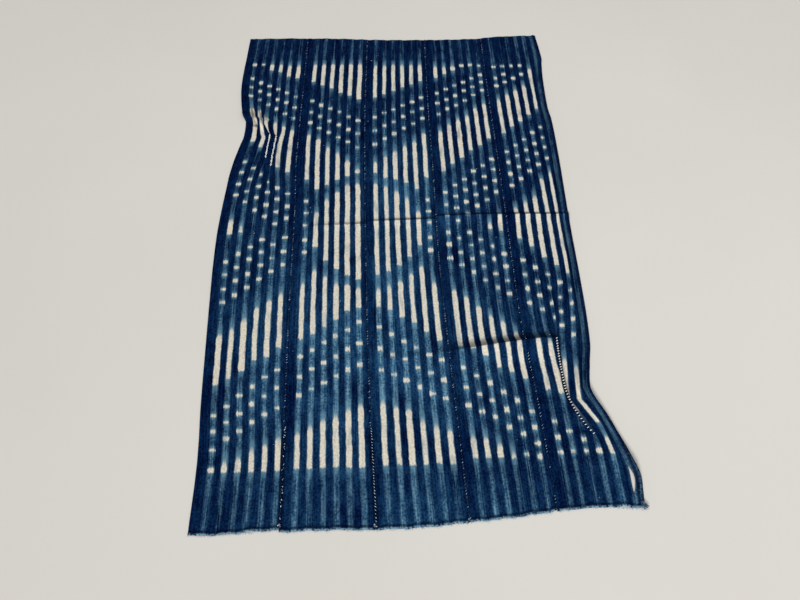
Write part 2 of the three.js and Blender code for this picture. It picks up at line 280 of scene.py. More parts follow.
def fade(distance, slope, sharp=0.0):
    """1 on a crest and 0 past its slope, round on top or, where sharp, creased."""
    part = np.minimum(np.abs(distance) / slope, 1)
    return (1 - sharp) * (0.5 + 0.5 * np.cos(np.pi * part)) + sharp * (1 - part) ** 1.3


def crest_rise(ridge, x, y):
    """The height of one ridge along its crest line."""
    best = np.zeros_like(x)
    for i in range(len(ridge["x"]) - 1):
        start = np.array([ridge["x"][i], ridge["y"][i]], float)
        run = np.array([ridge["x"][i + 1], ridge["y"][i + 1]], float) - start
        length = np.hypot(*run)
        run = run / length
        t = np.clip(((x - start[0]) * run[0] + (y - start[1]) * run[1]) / length, 0, 1)
        off_x = x - start[0] - run[0] * length * t
        off_y = y - start[1] - run[1] * length * t
        side = run[0] * (y - start[1]) - run[1] * (x - start[0])
        slope = np.where(side > 0, ridge["right"], ridge["left"])
        rise = ridge["rise"][i] + (ridge["rise"][i + 1] - ridge["rise"][i]) * t
        best = np.maximum(best, rise * fade(np.hypot(off_x, off_y), slope))
    return best


def cloth_height(x, y):
    """The height of the cloth's underside over the floor, in its folds, creases and rolls."""
    height = np.zeros_like(x)
    for ridge in cross_ridges:
        part = (x - ridge["from"]) / (ridge["to"] - ridge["from"])
        stations = np.linspace(0, 1, len(ridge["rise"]))
        rise = np.interp(part, stations, ridge["rise"], left=0, right=0)
        distance = y - along(ridge["line"], "x", "y", x)
        slope = np.where(distance > 0, ridge["far"], ridge["near"])
        height = np.maximum(height, rise * fade(distance, slope, ridge["sharp"]))
    for ridge in crest_ridges:
        height = np.maximum(height, crest_rise(ridge, x, y))
    inset = along(right_edge, "y", "x", y) - x
    outer = along(rolls, "y", "outer", y) * fade(inset - OUTER_ROLL_INSET, OUTER_ROLL_SLOPE)
    inner = along(rolls, "y", "inner", y) * fade(inset - INNER_ROLL_INSET, INNER_ROLL_SLOPE)
    return np.maximum(height, np.maximum(outer, 0) + np.maximum(inner, 0))


def spread(part, tight=0.55):
    """Parts from 0 to 1 drawn closer together towards both ends."""
    return part - tight * np.sin(2 * np.pi * part) / (2 * np.pi)


def through(parts, counts, guides):
    """Places through a list of guide lines, with a count of steps between each two."""
    share = np.concatenate([[0], np.cumsum(counts)]) / sum(counts)
    span = np.clip(np.searchsorted(share, parts, side="right") - 1, 0, len(counts) - 1)
    inside = spread((parts - share[span]) / (share[span + 1] - share[span]))
    guides = np.stack(guides)
    rows = np.arange(len(parts))
    return guides[span, rows] + (guides[span + 1, rows] - guides[span, rows]) * inside


# The resist marks repeat by rule. Counted outwards from the second seam, stripe by stripe, each mark
# starts and ends a little further from the middle of the cloth, so the marks make nested diamonds.
# The last tied stripe ends early near the front, and the stripe along the right side was left untied.
STRIPES_IN_STRIP = 6
STRIPE_PITCH = 30.5
PATTERN_MIDDLE = -5
FIRST_OUTER_STRIPE = 5
FIRST_BARRED_STRIPE = 10
FIRST_TUCKED_STRIPE = 13
LAST_TIED_STRIPE = 16
UNTIED_STRIPE = 17
FIELD_FAR = [707, 707, 700, 692, 686]
FIELD_NEAR = [697, 691, 688, 676, 668]
DIAMOND = [170, 160, 136, 110, 64]
BAND_START = [202, 190, 178, 162, 138]
OUTER_BAND_START, OUTER_BAND_STEP = 182, 26.3
BAND_CUT_SHORT = [40, 13, 9, 10]
BAND_BEFORE_TUCK = [25, 48, 28, 33]
LAST_BAND_END, LAST_EDGE_START = 598, 629
MIDDLE_OVERLAP = 60
FOUR_DOTS_APART = 44.5
THREE_DOTS_APART, THREE_DOTS_CLOSER, THREE_DOTS_LEAST = 59, 1.7, 38
DOT_HALF = 4.5
FADE_OF_BAR = 26
BAR_REACH, DOT_REACH = 26.0, 11.0
half_rules = {
    1: {"band_end": (259, 22.0), "three_dots": (384, 19.6),
        "edge_bar": (530, 16.5), "four_dots": (97, 26.4),
        "middle_bar": [14, 38, 68, 88, 112, 171, 211], "dot_shift": [-9, -13, 0, 0, 0]},
    -1: {"band_end": (262, 20.0), "three_dots": (388, 17.8),
         "edge_bar": (526, 14.2), "four_dots": (88, 24.4),
         "middle_bar": [14, 16, 48, 80, 112, 144, 176], "dot_shift": [0, -16, 0, 2, 2]},
}


def resist_marks(count, panel, side, chance):
    """Where one stripe is undyed in one half: spans of distance from the pattern's middle."""
    rule = half_rules[side]
    field = (FIELD_FAR if side > 0 else FIELD_NEAR)[panel]

    def uneven(most):
        return chance.uniform(-most, most)

    if count == UNTIED_STRIPE:
        return []
    marks = []
    start = OUTER_BAND_START + OUTER_BAND_STEP * (count - FIRST_OUTER_STRIPE)
    if count < len(DIAMOND):
        reach = DIAMOND[count] + (9 if panel == 1 and side < 0 else 0)
        marks.append((-MIDDLE_OVERLAP, reach + uneven(6)))
        start = BAND_START[count]
    end = rule["band_end"][0] + rule["band_end"][1] * count
    if panel == 1 and side > 0 and count < len(BAND_CUT_SHORT):
        end -= BAND_CUT_SHORT[count]
    if side < 0 and count >= FIRST_TUCKED_STRIPE:
        start -= BAND_BEFORE_TUCK[count - FIRST_TUCKED_STRIPE]
    if count == LAST_TIED_STRIPE:
        end = field - 8 if side > 0 else LAST_BAND_END
    marks.append((start + uneven(5), end + uneven(7)))
    if count >= FIRST_BARRED_STRIPE:
        row = count - FIRST_BARRED_STRIPE
        behind = min(half_rules[-side]["middle_bar"][row], MIDDLE_OVERLAP)
        marks.append((-behind, rule["middle_bar"][row] + uneven(6)))
    dots = []
    if count >= FIRST_OUTER_STRIPE:
        first = rule["four_dots"][0] + rule["four_dots"][1] * (count - FIRST_OUTER_STRIPE)
        first += 12 if panel == LEFT_PANEL and side < 0 else 0
        four = [first - FOUR_DOTS_APART * i for i in range(4)]
        dots += [dot for dot in four if dot > 8 - 8 * side]
    middle = rule["three_dots"][0] + rule["three_dots"][1] * count + rule["dot_shift"][panel]
    middle += 6 * max(count - 8, 0) if side < 0 else 0
    apart = max(THREE_DOTS_APART - THREE_DOTS_CLOSER * count, THREE_DOTS_LEAST)
    dots += [dot for dot in (middle - apart, middle, middle + apart) if dot < field - 30]
    edge = rule["edge_bar"][0] + rule["edge_bar"][1] * count
    if count == LAST_TIED_STRIPE and side < 0:
        edge = LAST_EDGE_START
    if edge < field - 22:
        marks.append((edge + uneven(6), field + uneven(2)))
    elif count < LAST_TIED_STRIPE:
        dots.append(field - 5)
    for dot in dots:
        place = dot + uneven(3)
        half = DOT_HALF + uneven(1.4)
        marks.append((place - half, place + half))
    return marks


def resist_shape(panel, across, y):
    """For each point's stripe: the distance along the warp to the nearest resist mark, less than 0
    inside it, how firm the mark is there, since bars fade at their far end, its part of full width,
    and how far its pale edge reaches."""
    stripe = np.rint((across - FIRST_STRIPE[panel]) / STRIPE_PITCH)
    stripe = np.clip(stripe, 0, STRIPES_IN_STRIP - 1).astype(int)
    depth = np.full(len(y), 1000.0)
    firmness = np.ones(len(y))
    width = np.ones(len(y))
    reach = np.full(len(y), BAR_REACH)
    for k in range(STRIPES_IN_STRIP):
        count = [11 - k, 5 - k, k, 6 + k, 12 + k][panel]
        here = np.flatnonzero(stripe == k)
        if count == UNTIED_STRIPE:
            depth[here] = 21 + 5 * np.sin(y[here] / 41)
        chance = random.Random(100 * panel + k)
        stripe_width = chance.uniform(0.84, 1.06)
        for side in (1, -1):
            for low, high in resist_marks(count, panel, side, chance):
                distance = side * (y[here] - PATTERN_MIDDLE)
                inside = np.maximum(low - distance, distance - high)
                is_dot = high - low < 3 * DOT_HALF
                fade_length = FADE_OF_BAR * chance.uniform(0.55, 1.3)
                far_end = high if side > 0 else -low
                firm = np.clip((far_end - side * distance) / fade_length, 0, 1)
                if is_dot:
                    mark_width = chance.uniform(0.8, 1.15)
                else:
                    mark_width = stripe_width * chance.uniform(0.95, 1.05)
                nearer = inside < depth[here]
                firmness[here] = np.where(nearer, 0.9 if is_dot else firm, firmness[here])
                width[here] = np.where(nearer, mark_width, width[here])
                reach[here] = np.where(nearer, DOT_REACH if is_dot else BAR_REACH, reach[here])
                depth[here] = np.minimum(depth[here], inside)
    return depth, firmness, width, reach


# The front right corner: the side is turned over in a narrow strip, with an open slit along its fold.
SLIT_INSET = 21
SLIT_FRONT, SLIT_FAR = -768, -701
TURNED_MIDDLE = -735


def slit_gape(y):
    """Half the width of the open slit along the last fold of the right side, and of its row of mesh."""
    part = (y - SLIT_FRONT) / (SLIT_FAR - SLIT_FRONT)
    return np.where((part > 0) & (part < 1), 0.5 + 4.0 * np.sin(np.pi * np.clip(part, 0, 1)), 2.0)


def panel_columns(panel, parts, y):
    """Places across a panel, drawn closer together along its mends."""
    left, right = panel_sides(panel, y)
    width = right - left
    if panel == LEFT_PANEL:
        guides = [left, left + width * straight(left_mend_outer, "y", "part", y),
                  left + width * straight(left_mend_inner, "y", "part", y), right]
        return through(parts, (30, 14, 24), guides)
    if panel == RIGHT_PANEL:
        gape = slit_gape(y)
        guides = [left, along(right_mend, "y", "x", y), right - 46, right - SLIT_INSET - gape,
                  right - SLIT_INSET + gape, right]
        return through(parts, (26, 12, 18, 2, 10), guides)
    return left + width * parts


def panel_rows(panel, steps, part, x):
    """Places along a panel, drawn closer together along its hems and main creases."""
    guides = [hem_line(front_hem, panel, part), along(tuck_line, "x", "y", x),
              along(middle_line, "x", "y", x), hem_line(far_hem, panel, part)]
    return through(steps, (120, 108, 190), guides)


def woven_place(panel, x, y):
    """How far across the flat strip each point was woven, with what the pleats and rolls hide."""
    left, right = panel_sides(panel, y)
    across = x - left
    spare = FLAT_WIDTH[panel] - (right - left)

    def step(distance):
        return np.clip(0.5 + distance / 3, 0, 1)

    if panel == LEFT_PANEL:
        for mend in (left_fold, left_mend_outer, left_mend_inner):
            hidden = straight(mend, "y", "hidden", y)
            place = left + (right - left) * straight(mend, "y", "part", y)
            across = across + hidden * step(x - place)
            spare = spare - hidden
        # Towards the front the strip is drawn in a little, and its spare width is taken up at the seam.
        turned = np.clip((-450 - y) / 150, 0, 1)
        last = np.clip((x - right + 5) / 5, 0, 1)
        across = across - FRONT_DRAWN_IN * turned * (x - left)
        spare = spare + FRONT_DRAWN_IN * turned * (right - left)
        even = (x - left) / (right - left)
        return across + spare * (even + (last * last * (3 - 2 * last) - even) * turned)
    if panel == RIGHT_PANEL:
        hidden = straight(right_mend, "y", "hidden", y)
        inset = np.clip((44 - (right - x)) / 44, 0, 1)
        across = across + hidden * step(x - along(right_mend, "y", "x", y))
        return across + (spare - hidden) * inset * inset * (3 - 2 * inset)
    return across + spare * (x - left) / (right - left)


# Where the cloth is painted darker for shade and where wear is paler: painted shade along fine creases at
# the left side, behind the two main creases, in the two seams that have opened near the front and along
# the mends; a dark knot; and the rubbed front end.
left_crease_shade = [
    (((-489, 490), (-475, 425), (-461, 405)), 0.7, 3.2),
    (((-512, 430), (-498, 424), (-480, 412), (-458, 399)), 0.8, 3.4),
    (((-464, 480), (-453, 444), (-438, 395), (-418, 360)), 0.75, 3.0),
]
middle_shade = {"x": [-300, -200, -60, 120, 480], "shade": [0, 0.4, 0.58, 0.75, 0.7]}
tuck_shade = {"x": [60, 160, 390, 396], "shade": [0, 0.6, 0.75, 0]}
rubbed_end = {"x": [-540, -400, -240, 60, 240, 540], "share": [0.22, 0.36, 0.6, 0.62, 0.42, 0.36]}
open_seams = {1: (-826, -592), 2: (-822, -602)}
open_seam_shade_width = {1: 4.6, 2: 3.2}
OPEN_SEAM_SHIFT = 2.6
left_mends = ((left_mend_outer, 268, 363), (left_mend_inner, 234, 357))
KNOT = (-110, 46)
NO_SEAM = 99

# The woven map: where the first stripe, the next panel and the front end are on it.
WOVEN_FIRST_STRIPE = 32
WOVEN_PANEL_STEP = 300
WOVEN_FRONT = 840


def off_line(points, x, y):
    """The distance of each place from a line through a few points."""
    best = np.full_like(x, 999.0)
    for (x1, y1), (x2, y2) in zip(points, points[1:]):
        share = ((x - x1) * (x2 - x1) + (y - y1) * (y2 - y1)) / ((x2 - x1) ** 2 + (y2 - y1) ** 2)
        share = np.clip(share, 0, 1)
        best = np.minimum(best, np.hypot(x - x1 - (x2 - x1) * share, y - y1 - (y2 - y1) * share))
    return best


def bell(distance, reach, power=2):
    """1 on a line and 0 well past its reach."""
    return np.exp(-(distance / reach) ** power)


def seam_distance(panel, x, y):
    """How far each point is from the nearer seam of its panel."""
    left, right = panel_sides(panel, y)
    from_left = x - left if panel > LEFT_PANEL else NO_SEAM
    from_right = right - x if panel < RIGHT_PANEL else NO_SEAM
    return np.minimum(from_left, from_right)


def small_ripple(x, y):
    """The ripple of a laid cloth at one place: a broad swell with a finer one on it."""
    return noise.noise((x * 0.011, y * 0.007, 3.1)) + 0.5 * noise.noise((x * 0.03, y * 0.024, 7.7))


def panel_wear_and_shade(panel, part, x, y):
    """How far each point is rubbed pale at the ends, darkened by painted shade and by a dark knot, and
    faded.
    """
    left, right = panel_sides(panel, y)
    from_front = y - hem_line(front_hem, panel, part)
    from_far = hem_line(far_hem, panel, part) - y
    frayed = bell(from_front, 4.2, 4) + 0.6 * bell(from_far, 2.2, 4)
    # Painted shade along the seams, and a painted shadow just behind the rolled front hem's lip.
    shade_and_dirt = 0.32 * bell(seam_distance(panel, x, y), 1.9) + 0.8 * bell(from_front - 8.2, 2.6)
    # Painted shade on the far side of the main crease, where its slope turns from the light.
    past_crease = (y - along(middle_line, "x", "y", x)) / 9
    fold_shade = np.interp(x, middle_shade["x"], middle_shade["shade"], left=0, right=0)
    shade_and_dirt = shade_and_dirt + fold_shade * np.where(past_crease > -0.1, bell(past_crease, 1), 0)
    # Painted shade on the far side of the tuck.
    past_tuck = (y - along(tuck_line, "x", "y", x)) / 20
    fold_shade = np.interp(x, tuck_shade["x"], tuck_shade["shade"], left=0, right=0)
    shade_and_dirt = shade_and_dirt + fold_shade * np.where(past_tuck > -0.05, bell(past_tuck, 1), 0)
    # Painted shade down the gaps of the two seams that have opened.
    for seam, (low, high) in open_seams.items():
        opened = np.clip((y - low + 2) / 12, 0, 1) * np.clip((high + 2 - y) / 25, 0, 1)
        off_seam = x - OPEN_SEAM_SHIFT - along(seams, "y", f"seam{seam}", y)
        shade_and_dirt = shade_and_dirt + 0.95 * opened * bell(off_seam, open_seam_shade_width[seam], 4)
    faded = 0.12 + 0.88 * np.exp(-((x + 110) / 370) ** 2 - ((y + 400) / 370) ** 2)
    faded = np.maximum(faded, 0.95 * np.exp(-(x / 190) ** 2 - ((y - 60) / 260) ** 2))
    faded = np.maximum(faded, straight(rubbed_end, "x", "share", x) * bell(y + 820, 190))
    if panel == LEFT_PANEL:
        # Painted shade in the slits along the two left mends.
        for mend, low, high in left_mends:
            place = left + (right - left) * straight(mend, "y", "part", y)
            sewn = np.clip((y - low + 6) / 8, 0, 1) * np.clip((high + 5 - y) / 5, 0, 1)
            shade_and_dirt = shade_and_dirt + 0.98 * sewn * bell(x - place, 3.6, 4)
        # Painted shade along the fine creases and under the fold's lip at the left side.
        for crease, depth_of_shade, spread_of_shade in left_crease_shade:
            shade_and_dirt = shade_and_dirt + depth_of_shade * bell(off_line(crease, x, y), spread_of_shade)
    shade_and_dirt = shade_and_dirt + 0.9 * np.exp(-((x - KNOT[0]) ** 2 + (y - KNOT[1]) ** 2) / 24)
    if panel == RIGHT_PANEL:
        inset = right - x
        # Painted shade in the slit under the right mend's ticks.
        sewn = fade(y + 505, 135) ** 0.3
        shade_and_dirt = shade_and_dirt + 0.98 * sewn * bell(x - along(right_mend, "y", "x", y), 5.4, 4)
        faded = np.maximum(faded, 0.85 * bell(x - 478, 15) * np.clip((-640 - y) / 40, 0, 1))
        turned_strip = fade(y - TURNED_MIDDLE, 95)
        # The turned strip: pale lines of its light-blue edge, and painted shade in its small folds.
        frayed = frayed + turned_strip * (0.75 * bell(inset - 1, 2.4) + 0.5 * bell(inset - 9, 1.8))
        shade_and_dirt = shade_and_dirt + turned_strip * (0.8 * bell(inset - 14, 2.2) + 0.7 * bell(inset - 5, 1.6))
    return frayed, np.clip(shade_and_dirt, 0, 1), faded


def cut_slit(mesh):
    """Takes out the faces of the right panel that lie inside the open slit."""
    shape = bmesh.new()
    shape.from_mesh(mesh)
    gone = []
    for face in shape.faces:
        place = face.calc_center_median() / MM
        place_x, place_y = place.x + CLOTH_MIDDLE[0], place.y + CLOTH_MIDDLE[1]
        inset = along(right_edge, "y", "x", place_y) - place_x
        if SLIT_FRONT < place_y < SLIT_FAR and abs(inset - SLIT_INSET) < slit_gape(place_y) * 0.9:
            gone.append(face)
    bmesh.ops.delete(shape, geom=gone, context="FACES")
    shape.to_mesh(mesh)
    shape.free()


def make_panel(panel):
    """One panel as a fine sheet on its folds, with its woven place and its marks stored on it."""
    columns = 68 if panel in (LEFT_PANEL, RIGHT_PANEL) else 44
    rows = 418
    shape = bmesh.new()
    bmesh.ops.create_grid(shape, x_segments=columns, y_segments=rows, size=0.5)
    mesh = bpy.data.meshes.new(f"cloth_panel_{panel + 1}")
    shape.to_mesh(mesh)
    shape.free()
    points = np.empty(len(mesh.vertices) * 3)
    mesh.vertices.foreach_get("co", points)
    points = points.reshape(-1, 3)
    part = np.clip(points[:, 0] + 0.5, 0, 1)
    step = np.clip(points[:, 1] + 0.5, 0, 1)
    # Rows follow the columns and columns the rows, so they settle in a few rounds.
    y = panel_rows(panel, step, part, np.zeros_like(part))
    for again in range(3):
        x = panel_columns(panel, part, y)
        y = panel_rows(panel, step, part, x)
    x = panel_columns(panel, part, y)
    across = woven_place(panel, x, y)
    z = cloth_height(x, y) + CLOTH_THICKNESS
    from_end = np.minimum(y - hem_line(front_hem, panel, part), hem_line(far_hem, panel, part) - y)
    z += HEM_ROLL * fade(from_end - HEM_DEPTH / 2, HEM_DEPTH / 2 + 0.6)
    if panel == RIGHT_PANEL:
        inset = panel_sides(panel, y)[1] - x
        turned = fade(y - TURNED_MIDDLE, 85) * np.clip((16 - inset) / 4, 0, 1) * np.clip(inset / 3, 0, 1)
        z += 1.3 * turned * (1 + np.sin(2 * np.pi * inset / 5.2))
    crown = 1 - bell(seam_distance(panel, x, y), 9.0)
    ripple = np.array([small_ripple(*place) for place in zip(x, y)])
    z += 0.7 * crown + np.clip(0.9 + 1.1 * ripple, 0, None) * np.clip(from_end / 30, 0, 1)
    points[:, 0] = (x - CLOTH_MIDDLE[0]) * MM
    points[:, 1] = (y - CLOTH_MIDDLE[1]) * MM
    points[:, 2] = z * MM
    mesh.vertices.foreach_set("co", points.ravel())
    depth, firmness, width, reach = resist_shape(panel, across, y)
    frayed, shade_and_dirt, faded = panel_wear_and_shade(panel, part, x, y)
    kept_values = {"resist": depth * MM, "firmness": firmness, "width": width, "reach": reach * MM,
                   "frayed": frayed, "shade_and_dirt": shade_and_dirt, "faded": faded}
    for name, values in kept_values.items():
        mesh.attributes.new(name, "FLOAT", "POINT").data.foreach_set("value", values)
    woven_across = across - FIRST_STRIPE[panel] + WOVEN_FIRST_STRIPE + WOVEN_PANEL_STEP * panel
    woven = np.stack([woven_across, y + WOVEN_FRONT], axis=1) * MM
    corner = np.empty(len(mesh.loops), int)
    mesh.loops.foreach_get("vertex_index", corner)
    layer = mesh.uv_layers.new(name="woven")
    layer.data.foreach_set("uv", woven[corner].ravel())
    if panel == RIGHT_PANEL:
        cut_slit(mesh)
    mesh.update()
    mesh.polygons.foreach_set("use_smooth", np.ones(len(mesh.polygons), bool))
    piece = bpy.data.objects.new(f"cloth_panel_{panel + 1}", mesh)
    bpy.context.collection.objects.link(piece)
    shell = piece.modifiers.new("cloth_thickness", "SOLIDIFY")
    shell.thickness = CLOTH_THICKNESS * MM
    shell.offset = -1
    return piece


# The dyed cotton: navy ground, bluer streaks where the tied yarns run, and cream resist marks whose
# ends are ragged because each yarn shifted a little on the loom. Painted shade darkens the seams, folds,
# slits and the line behind the front hem, a dark knot darkens one spot, and the rolled ends are rubbed
# pale.
ikat, tree, shader = new_material("indigo_cotton")
woven_uv = put(tree, "ShaderNodeUVMap", uv_map="woven").outputs["UV"]
woven_x = put(tree, "ShaderNodeSeparateXYZ", {"Vector": woven_uv}).outputs["X"]
stored = {}
for stored_name in ("resist", "firmness", "width", "reach", "frayed", "shade_and_dirt", "faded"):
    stored[stored_name] = put(tree, "ShaderNodeAttribute", attribute_name=stored_name).outputs["Fac"]


def streaks(tree, across_scale, along_scale, detail, salt):
    """Cloudy streaks that run along the warp, from 0 to 1."""
    place = put(tree, "ShaderNodeMapping", {"Vector": woven_uv, "Location": (salt, salt * 0.7, 0),
                                            "Scale": (across_scale, along_scale, 1)})
    inputs = {"Vector": place.outputs["Vector"], "Scale": 1.0, "Detail": detail}
    return put(tree, "ShaderNodeTexNoise", inputs).outputs["Fac"]


def swing(tree, value, most):
    """A cloud from 0 to 1 as a swing of up to half of most either way."""
    return calc(tree, "MULTIPLY_ADD", value, most, -most / 2)


# Where a point is across its stripe, whose sides drift a little.
strip_x = calc(tree, "MODULO", woven_x, WOVEN_PANEL_STEP * MM)
stripe_count = calc(tree, "SUBTRACT", strip_x, WOVEN_FIRST_STRIPE * MM)
stripe_count = calc(tree, "DIVIDE", stripe_count, STRIPE_PITCH * MM)
stripe_phase = calc(tree, "SUBTRACT", calc(tree, "FRACT", calc(tree, "ADD", stripe_count, 10.5)), 0.5)
edge_drift = swing(tree, streaks(tree, 32.8, 9, 2, 3.0), 0.0045)
off_stripe = calc(tree, "MULTIPLY_ADD", stripe_phase, STRIPE_PITCH * MM, edge_drift)
off_stripe = calc(tree, "ABSOLUTE", off_stripe)
on_strip = calc(tree, "MULTIPLY", ease(tree, strip_x, 0.014, 0.020), ease(tree, strip_x, 0.203, 0.197))
yarn = streaks(tree, 950, 5, 1, 0.0)
speckle = streaks(tree, 215, 190, 2, 4.0)
# The undyed marks, with ragged ends, uneven sides and bites where the dye crept in.
ragged = calc(tree, "ADD", stored["resist"], swing(tree, streaks(tree, 230, 7, 1, 9.0), 0.012))
ragged = calc(tree, "ADD", ragged, swing(tree, yarn, 0.006))
firm = calc(tree, "ADD", stored["firmness"], swing(tree, yarn, 0.5))
half_width = calc(tree, "MULTIPLY_ADD", ease(tree, stored["firmness"], -0.1, 0.8), 0.0036, 0.0028)
half_width = calc(tree, "MULTIPLY", half_width, stored["width"])
past_side = calc(tree, "SUBTRACT", off_stripe, half_width)
past_side = calc(tree, "ADD", past_side, swing(tree, speckle, 0.0022))
past_side = calc(tree, "ADD", past_side, swing(tree, streaks(tree, 66, 34, 2, 7.0), 0.0056))
undyed = calc(tree, "MULTIPLY", ease(tree, ragged, 0.0020, -0.0024), ease(tree, past_side, 0.0014, -0.0012))
undyed = calc(tree, "MULTIPLY", undyed, ease(tree, firm, -0.05, 0.7))
undyed = calc(tree, "MULTIPLY", undyed, on_strip)
bitten = calc(tree, "MULTIPLY", ease(tree, streaks(tree, 48, 13, 3, 11.0), 0.52, 0.74), 0.5)
undyed = calc(tree, "MULTIPLY", undyed, calc(tree, "SUBTRACT", 1.0, bitten))
# The pale edge of each mark, and the blue of the tied yarns between the marks.
past_mark = calc(tree, "DIVIDE", ragged, stored["reach"])
halo = calc(tree, "MULTIPLY", ease(tree, past_mark, 1.0, -0.15), ease(tree, off_stripe, 0.0090, 0.0032))
halo = calc(tree, "MULTIPLY", halo, on_strip)
near_mark = ease(tree, stored["resist"], 0.075, 0.005)
strength = calc(tree, "MULTIPLY_ADD", near_mark, 0.16, 0.05)
strength = calc(tree, "MULTIPLY_ADD", stored["faded"], 0.72, strength)
strength = calc(tree, "ADD", strength, swing(tree, streaks(tree, 33, 3.5, 2, 5.0), 1.5))
strength = calc(tree, "ADD", strength, swing(tree, streaks(tree, 330, 4, 2, 6.0), 1.7))
strength = calc(tree, "ADD", strength, swing(tree, streaks(tree, 170, 22, 3, 15.0), 0.9))
pale = calc(tree, "MULTIPLY", ease(tree, off_stripe, 0.0094, 0.0020), on_strip)
pale = calc(tree, "MULTIPLY", pale, strength, clamp=True)
# The colours: uneven navy, washed where it is faded, blue stripes, cream marks, painted shade with a dark
# knot, and rubbed ends.
mottle = calc(tree, "ADD", calc(tree, "MULTIPLY", streaks(tree, 300, 9, 3, 1.0), 0.4),
              calc(tree, "MULTIPLY", speckle, 0.45))
patches = swing(tree, streaks(tree, 75, 34, 3, 13.0), 1.0)
mottle = calc(tree, "MULTIPLY_ADD", patches, 0.32, calc(tree, "ADD", mottle, 0.075))
navy = blend(tree, ease(tree, mottle, 0.40, 0.64), srgb(0, 3, 34), srgb(2, 32, 72))
washed = blend(tree, ease(tree, mottle, 0.40, 0.64), srgb(8, 40, 76), srgb(36, 80, 118))
cloud = calc(tree, "MULTIPLY", ease(tree, streaks(tree, 11, 6, 3, 2.0), 0.26, 0.64), stored["faded"])
cloud = calc(tree, "MULTIPLY", cloud, calc(tree, "MULTIPLY_ADD", on_strip, 0.5, 0.5))
ground = blend(tree, cloud, navy, washed)
stripe_blue = blend(tree, ease(tree, mottle, 0.38, 0.64), srgb(24, 74, 112), srgb(112, 154, 174))
cream = blend(tree, streaks(tree, 300, 24, 3, 8.0), srgb(164, 156, 138), srgb(234, 229, 215))
cream = blend(tree, ease(tree, speckle, 0.62, 0.36), cream, srgb(222, 215, 199))
tone = blend(tree, pale, ground, stripe_blue)
tone = blend(tree, calc(tree, "MULTIPLY", halo, 0.6), tone, srgb(104, 146, 166))
tone = blend(tree, undyed, tone, cream)
# Painted shade: near-black navy where seams, folds, slits and the hem's lip lie in shade, and at the knot.
tone = blend(tree, stored["shade_and_dirt"], tone, srgb(1, 9, 32))
rubbed = calc(tree, "MULTIPLY", stored["frayed"], ease(tree, speckle, 0.36, 0.62))
tone = blend(tree, calc(tree, "MULTIPLY", rubbed, 0.8), tone, srgb(128, 158, 174))
tree.links.new(tone, shader.inputs["Base Color"])
shader.inputs["Roughness"].default_value = 0.9
shader.inputs["Specular IOR Level"].default_value = 0.02
# The relief of warp and weft.
weft_inputs = {"Vector": woven_uv, "Scale": 110.0, "Distortion": 1.2, "Detail": 1.0}
weft = put(tree, "ShaderNodeTexWave", weft_inputs, wave_type="BANDS", bands_direction="Y")
rib = calc(tree, "ADD", calc(tree, "MULTIPLY", yarn, 1.2), calc(tree, "MULTIPLY", weft.outputs["Fac"], 0.5))
rib = calc(tree, "ADD", rib, speckle)
bump = put(tree, "ShaderNodeBump", {"Height": rib, "Strength": 0.5, "Distance": 0.0006})
tree.links.new(bump.outputs["Normal"], shader.inputs["Normal"])

panels = []
for number in range(PANEL_COUNT):
    panel_piece = make_panel(number)
    panel_piece.data.materials.append(ikat)
    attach(panel_piece, "root")
    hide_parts(f"panel_{number + 1}")
    panels.append(panel_piece)

# The seams are whipped by hand with indigo yarn. It shows as slanted beads about 7 mm apart, worn pale
# in places. Near the front two seams have opened: the first has mixed dashes, the second pale ticks.
panel_trees = []
for panel_piece in panels:
    corners = [corner.co for corner in panel_piece.data.vertices]
    panel_trees.append(BVHTree.FromPolygons(corners, [face.vertices for face in panel_piece.data.polygons]))


def on_cloth(x, y, lift):
    """A point over the top of the cloth, from its place in the tables and its height above the sheet."""
    place = Vector(((x - CLOTH_MIDDLE[0]) * MM, (y - CLOTH_MIDDLE[1]) * MM, 0.08))
    tops = [tree_of_panel.ray_cast(place, Vector((0, 0, -1)))[0] for tree_of_panel in panel_trees]
    tops = [top.z for top in tops if top is not None]
    if not tops:
        under = place - Vector((0, 0, 0.075))
        near = [tree_of_panel.find_nearest(under)[0] for tree_of_panel in panel_trees]
        tops = [min(near, key=lambda point: (point.xy - place.xy).length).z]
    place.z = max(tops) + lift * MM
    return place


STRANDS_IN_GROUP = 24


def sew(name, material, strands, pointed=False):
    """Bits of yarn as one piece, from rows of start, end, thickness and how pale each is: stretched
    beads, or pointed fibres. They are made in small groups, as adding to a large mesh is slow."""
    whole = bmesh.new()
    for first in range(0, len(strands), STRANDS_IN_GROUP):
        group = bmesh.new()
        pale_layer = group.verts.layers.float.new("pale")
        for start, end, thickness, pale_part in strands[first:first + STRANDS_IN_GROUP]:
            run = end - start
            turn = run.to_track_quat("Z", "Y").to_matrix().to_4x4()
            size = Matrix.Diagonal((thickness * MM / 2, thickness * MM / 2, run.length / 2, 1))
            place = Matrix.Translation((start + end) / 2) @ turn @ size
            if pointed:
                made = bmesh.ops.create_cone(group, cap_ends=True, segments=4, radius1=1,
                                             radius2=0.25, depth=2, matrix=place)
            else:
                made = bmesh.ops.create_uvsphere(group, u_segments=6, v_segments=5, radius=1, matrix=place)
            for vertex in made["verts"]:
                vertex[pale_layer] = pale_part
        part_mesh = bpy.data.meshes.new("strands")
        group.to_mesh(part_mesh)
        group.free()
        whole.from_mesh(part_mesh)
        bpy.data.meshes.remove(part_mesh)
    mesh = bpy.data.meshes.new(name)
    whole.to_mesh(mesh)
    whole.free()
    mesh.polygons.foreach_set("use_smooth", np.ones(len(mesh.polygons), bool))
    mesh.materials.append(material)
    piece = bpy.data.objects.new(name, mesh)
    bpy.context.collection.objects.link(piece)
    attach(piece, "root")


